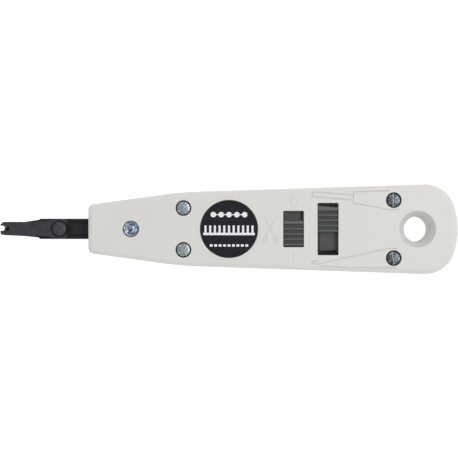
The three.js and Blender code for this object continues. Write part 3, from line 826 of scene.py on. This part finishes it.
def screw(corner):
    place = SCREW_PLACES[corner]
    low, high = box_mm(f"screw_{corner}")
    top = high.z
    head_low = 16.75
    profile = [
        (0, low.z),
        (1.05, low.z),
        (1.45, low.z + 0.5),
        (1.45, head_low),
        (2.4, head_low),
        (2.5, head_low + 0.1),
        (2.5, top - 0.3),
        (2.42, top - 0.16),
        (2.25, top - 0.08),
        (1.6, top - 0.03),
        (0, top),
    ]
    body = turned(f"screw_head_{corner}", profile)
    angle = math.radians(SCREW_TURNS[corner])
    half, reach = 0.34, 4
    along = Vector((math.cos(angle), math.sin(angle)))
    across = Vector((-along.y, along.x))
    corners = [(-reach, -half), (reach, -half), (reach, half), (-reach, half)]
    outline = [tuple(along * u + across * v) for u, v in corners]
    floor_z = top - 0.8
    cut(body, [prism("slot", outline, floor_z, top + 1)])
    body.location = Vector((place.x, place.y, 0)) * MM
    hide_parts(f"screw_{corner}")
    # Front screws take the brighter zinc copy, rear screws the darker one: painted highlight and painted
    # shade.
    fit(body, "housing", "zinc_steel", zinc if place.x < 0 else rear_zinc_painted_shade, slot_highlight_zinc)
    # The slot's floor faces take the lighter zinc of the painted highlight.
    for face in body.data.polygons:
        inside = head_low + 0.2 < face.center.z / MM < floor_z + 0.01
        if inside and abs(face.normal.z) > 0.9:
            face.material_index = 1
    soften(body, 0.05, angle=40)
    return body


def guide_rivet():
    """Turned rivet with rings on its two heads and a centre dimple."""
    top = FRONT_Z - 0.06
    depth = 1.2

    def head(sign, face):
        rings = [(0, face - sign * 0.05), (0.3, face - sign * 0.05), (0.45, face - sign * 0.25)]
        rings += [(0.6, face - sign * 0.25), (0.8, face)]
        for r in (1.4, 2.15):
            rings += [(r - 0.25, face), (r, face - sign * 0.12), (r + 0.25, face)]
        return rings + [(2.75, face), (3.03, face - sign * 0.28), (3.03, face - sign * depth)]

    profile = head(-1, 0.06) + [(2.0, depth)] + [(2.0, FRONT_Z - depth)] + head(1, top)[::-1]
    body = turned("guide_rivet_turned", profile)
    body.location = Vector((GUIDE_X, 0, 0)) * MM
    weight_normals(body)
    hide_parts("guide_rivet")
    return fit(body, "housing", "zinc_steel", rivet_zinc)


# ---------------------------------------------------------------- head

def fork_outline(upper_side, lower_side, end_r):
    """Forked insertion blade, anticlockwise: notch, lower side, round end about the rivet, upper side."""
    notch_x, notch_y, notch_r = TIP_X + 0.8, 0.23, 1.03
    right = math.pi / 2
    points = arc(notch_x, notch_y, notch_r, right, -right, 12)
    points += [(TIP_X + 0.05, notch_y - notch_r), (TIP_X + 0.35, -2.15)]
    points += lower_side
    points += arc(PIVOT_X + 0.4, 0, end_r, -1.75, 1.75, 28)
    points += upper_side
    points += [(TIP_X + 1.25, 2.7), (TIP_X, 1.5), (TIP_X + 0.05, notch_y + notch_r)]
    return points


def front_blade():
    low, high = box_mm("front_blade")
    lower_side = [(-86.8, -2.45), (-80, -2.75), (-74, -2.65), (-69.5, -3.1)]
    upper_side = [(-71, 2.9), (-75.5, 2.5), (-79.9, 2.7)]
    outline = fork_outline(upper_side, lower_side, end_r=3.85)
    body = prism("front_blade_forked", outline, low.z, high.z)
    feeler_hole = (-85.65, 0.1, 0.95)
    cut(body, [
        prism("rivet_hole", circle(PIVOT_X, 0, RIVET_HOLE_R, 32), low.z - 1, high.z + 1),
        prism("feeler_hole", circle(*feeler_hole, 32), low.z - 1, high.z + 1),
        ring_groove(PIVOT_X, 0, r=2.92, width=0.66, depth=0.7, top=high.z),
    ])
    # The rounded edges take the second slot, a lighter steel that is part wear and part painted highlight.
    soften(body, 0.14, edge_slot=1)
    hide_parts("front_blade")
    return fit(body, "head", "grey_steel", blade_steel, edge_wear_and_highlight_steel)


def rear_blade():
    low, high = box_mm("rear_blade")
    lower_side = [(-86.8, -2.45), (-80, -2.8), (-73.7, -3.4)]
    upper_side = [(-73.7, 3.6), (-80, 2.65)]
    outline = fork_outline(upper_side, lower_side, end_r=3.6)
    body = prism("rear_blade_forked", outline, low.z, high.z)
    cut(body, [prism("rivet_hole", circle(PIVOT_X, 0, RIVET_HOLE_R, 32), low.z - 1, high.z + 1)])
    soften(body, 0.1)
    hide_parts("rear_blade")
    return fit(body, "head", "grey_steel", grey_steel)


def head_rivet():
    low, high = box_mm("head_rivet")
    r = 2.6
    shank_r = 1.6
    crown = 0.07
    thick = 1.1
    profile = [
        (0, low.z),
        (r - crown, low.z),
        (r - crown * 0.3, low.z + crown * 0.3),
        (r, low.z + crown),
        (r, low.z + thick),
        (shank_r, low.z + thick),
        (shank_r, high.z - thick),
        (r, high.z - thick),
        (r, high.z - crown),
        (r - crown * 0.3, high.z - crown * 0.3),
        (r - crown, high.z),
        (0.5, high.z),
        (0, high.z - 0.15),
    ]
    body = turned("head_rivet_turned", profile)
    body.location = Vector((PIVOT_X, 0, 0)) * MM
    weight_normals(body)
    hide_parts("head_rivet")
    rivet_steel = turned_material("rivet_steel", (0.042, 0.045, 0.051), (0.072, 0.076, 0.084), 0.46, 0.6)
    return fit(body, "head", "grey_steel", rivet_steel)


def keep_cad(node, material, edge=0.0):
    """A CAD node that stays in view, with a procedural material and, given edge, soft edges."""
    piece = frame["nodes"][node]
    piece.data.materials.clear()
    piece.data.materials.append(material)
    weld = piece.modifiers.new("weld", "WELD")
    weld.merge_threshold = 0.002 * MM
    if edge:
        soften(piece, edge)


# ---------------------------------------------------------------- sliders

def thin_ridge(y):
    """Points over one ridge with rounded edges, and down to the pad on both sides, towards -Y."""
    foot, edge, flat = RIDGE_HALF + 0.02, RIDGE_HALF, RIDGE_HALF - 0.1
    return [
        (y + foot, PAD_Z),
        (y + edge, RIDGE_TOP_Z - 0.12),
        (y + flat, RIDGE_TOP_Z),
        (y - flat, RIDGE_TOP_Z),
        (y - edge, RIDGE_TOP_Z - 0.12),
        (y - foot, PAD_Z),
    ]


def pad_profile(y_top, wide_low, first, count, y_low):
    """Side view of a ribbed finger pad as (y, z): a wide ridge at its top end, then thin ones."""
    lip = 0.1
    points = [
        (y_top, FLANGE_LOW_Z),
        (y_top, RIDGE_TOP_Z - lip),
        (y_top - lip, RIDGE_TOP_Z),
        (wide_low + lip, RIDGE_TOP_Z),
        (wide_low, RIDGE_TOP_Z - lip),
        (wide_low - 0.05, PAD_Z),
    ]
    for k in range(count):
        points += thin_ridge(first - RIDGE_PITCH * k)
    return points + [(y_low, PAD_Z), (y_low, FLANGE_LOW_Z)]


def along_x(name, profile, x0, x1):
    """A profile of (y, z) drawn out along X."""
    return loft(name, [[(x, y, z) for y, z in profile] for x in (x0, x1)])


def cutter_switch():
    """Ribbed slider of the small window, with the fork that holds the cutter's lever."""
    pad_x = (21.15, 28.55)
    base_y = (-10.7, 7.05)
    prong_x = (24.2, 25.8)
    prong_in, prong_out = 1.35, 2.65
    prong_z = (13, FLANGE_LOW_Z + BITE)
    profile = pad_profile(y_top=3.1, wide_low=2.0, first=0.1, count=4, y_low=-6.7)
    body = along_x("cutter_switch_slider", profile, *pad_x)
    join(body, [
        block("flange", 20.2, 29.6, *base_y, FLANGE_LOW_Z, FLANGE_TOP_Z),
        block("tongue", 21.2, 27.6, *base_y, *TONGUE_Z, 0.2),
        block("fork_upper", *prong_x, prong_in, prong_out, *prong_z),
        block("fork_lower", *prong_x, -prong_out, -prong_in, *prong_z),
    ])
    soften(merge_flat(body), 0.05, angle=50)
    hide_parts("cutter_switch")
    return fit(body, "cutter_switch", "switch_plastic", switch_plastic)


def slanted(name, x0, x1, z0, z1):
    """A plate whose two ends follow the slant of the release slider's ends."""
    def upper(x):
        return 8.85 - 0.08 * (x - RELEASE_WINDOW[0])

    def lower(x):
        return -8.4 + 0.067 * (x - RELEASE_WINDOW[0])

    return prism(name, [(x0, lower(x0)), (x1, lower(x1)), (x1, upper(x1)), (x0, upper(x0))], z0, z1)


def release_slider():
    """Slider of the long window, with the lug that its two springs centre."""
    pad_x = (34.3, 41.8)
    lug_x = (36.8, 39.2)
    lug_z = (11.2, FLANGE_LOW_Z + BITE)
    profile = pad_profile(y_top=9.5, wide_low=7.05, first=5.35, count=4, y_low=-0.95)
    body = along_x("release_slider_moulding", profile, *pad_x)
    combine(body, [slanted("limit", 30, 45, FLANGE_LOW_Z - 1, 20)], "INTERSECT")
    join(body, [
        slanted("flange", 32.6, 43.3, FLANGE_LOW_Z, FLANGE_TOP_Z),
        slanted("tongue", 34.9, 40.4, *TONGUE_Z),
        block("lug", *lug_x, -1, 1, *lug_z),
    ])
    soften(merge_flat(body), 0.05, angle=50)
    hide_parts("release_slider")
    return fit(body, "release_slider", "switch_plastic", switch_plastic)


# ---------------------------------------------------------------- springs

def spring(node, body, along, turns, wire_r, fixed_high=True):
    """A coil in its CAD node's place; along is the row axis it lies on, 0 for X and 1 for Y."""
    low, high = box_mm(node)
    middle = (low + high) / 2
    mean_r = (high.z - low.z) / 2 - wire_r
    length = high[along] - low[along]
    steps_per_turn = 20
    steps = turns * steps_per_turn
    sides = 10
    rings = []
    for i in range(steps + 1):
        turn = 2 * math.pi * turns * i / steps
        ring = []
        for k in range(sides):
            a = 2 * math.pi * k / sides
            reach = mean_r + wire_r * math.cos(a)
            point = Vector((0, 0, middle.z + reach * math.sin(turn)))
            point[along] = low[along] + wire_r + (length - 2 * wire_r) * i / steps + wire_r * math.sin(a)
            point[1 - along] = middle[1 - along] + reach * math.cos(turn)
            ring.append(point)
        rings.append(ring)
    piece = loft(f"{node}_coil", rings)
    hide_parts(node)
    fit(piece, body, "spring_steel", spring_steel)
    axis = Vector((0, 0, 0))
    axis[along] = 1
    anchor = middle.copy()
    anchor[along] = high[along] if fixed_high else low[along]
    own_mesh(piece)


# ---------------------------------------------------------------- all the pieces

front_shell()
rear_shell()
label()
for corner_name in SCREW_TURNS:
    screw(corner_name)
guide_rivet()
front_blade()
rear_blade()
head_rivet()
cutter_switch()
release_slider()

keep_cad("shank_plate", black_steel, edge=0.15)
keep_cad("scissor_blade", black_steel, edge=0.12)
keep_cad("sensor_slider", black_steel, edge=0.1)
spring("sensor_spring", "head", along=0, turns=8, wire_r=0.18)
spring("main_spring", "housing", along=0, turns=13, wire_r=0.6)
for side, fixed_high in (("upper", True), ("lower", False)):
    node_name = f"release_spring_{side}"
    spring(node_name, "housing", 1, 7, wire_r=0.25, fixed_high=fixed_high)
keep_cad("spring_seat", tool_steel, edge=0.15)
keep_cad("cutter_link", tool_steel, edge=0.12)
keep_cad("switch_detent_spring", spring_steel)
keep_cad("tool_detent_spring", spring_steel)
keep_cad("pick_blade", tool_steel, edge=0.15)
keep_cad("wire_hook", tool_steel, edge=0.15)
for corner_name in SCREW_TURNS:
    keep_cad(f"threaded_insert_{corner_name}", brass)


# ---------------------------------------------------------------- stage

def floor():
    reach = 1500
    corners = [(-reach, -reach, 0), (reach, -reach, 0), (reach, reach, 0), (-reach, reach, 0)]
    sheet = new_object("floor", corners, [(0, 1, 2, 3)])
    n = Nodes("floor_paint")
    n.shader.inputs["Base Color"].default_value = (0.3, 0.3, 0.3, 1)
    n.shader.inputs["Roughness"].default_value = 0.9
    n.shader.inputs["Emission Color"].default_value = (1, 1, 1, 1)
    n.shader.inputs["Emission Strength"].default_value = 0.88
    sheet.data.materials.append(n.material)


def world():
    sky = bpy.data.worlds.new("studio")
    sky.use_nodes = True
    tree = sky.node_tree
    background = tree.nodes["Background"]
    direction = tree.nodes.new("ShaderNodeTexCoord")
    height = tree.nodes.new("ShaderNodeSeparateXYZ")
    ramp = tree.nodes.new("ShaderNodeValToRGB")
    stops = ((0.0, 0.5), (0.35, 0.92), (0.8, 0.85), (0.97, 0.45))
    while len(ramp.color_ramp.elements) < len(stops):
        ramp.color_ramp.elements.new(0.5)
    for element, (place, level) in zip(ramp.color_ramp.elements, stops):
        element.position = place
        element.color = (level, level, level, 1)
    tree.links.new(direction.outputs["Generated"], height.inputs["Vector"])
    tree.links.new(height.outputs["Z"], ramp.inputs["Fac"])
    tree.links.new(ramp.outputs["Color"], background.inputs["Color"])
    background.inputs["Strength"].default_value = 0.95
    bpy.context.scene.world = sky


def softbox(name, place, size, power):
    lamp = bpy.data.lights.new(name, "AREA")
    lamp.shape = "RECTANGLE"
    lamp.size, lamp.size_y = size
    lamp.energy = power
    holder = bpy.data.objects.new(name, lamp)
    bpy.context.scene.collection.objects.link(holder)
    holder.location = place
    holder.rotation_euler = (-Vector(place)).to_track_quat("-Z", "Y").to_euler()


def camera():
    """Straight down on the front face, far enough for the photograph's perspective."""
    sensor = 36
    face_width = 175.2
    distance = 608
    aim_x = 0.15
    roll = 0.05
    view = bpy.data.cameras.new("camera")
    view.sensor_width = sensor
    view.lens = sensor * distance / face_width
    holder = bpy.data.objects.new("camera", view)
    bpy.context.scene.collection.objects.link(holder)
    holder.location = Vector((aim_x, 0, FRONT_Z + distance)) * MM
    holder.rotation_euler.z = math.radians(roll)
    bpy.context.scene.camera = holder


floor()
world()
softbox("key", place=(0.45, 0.22, 0.9), size=(0.7, 0.5), power=3.7)
camera()
bpy.context.scene.view_settings.view_transform = "Standard"
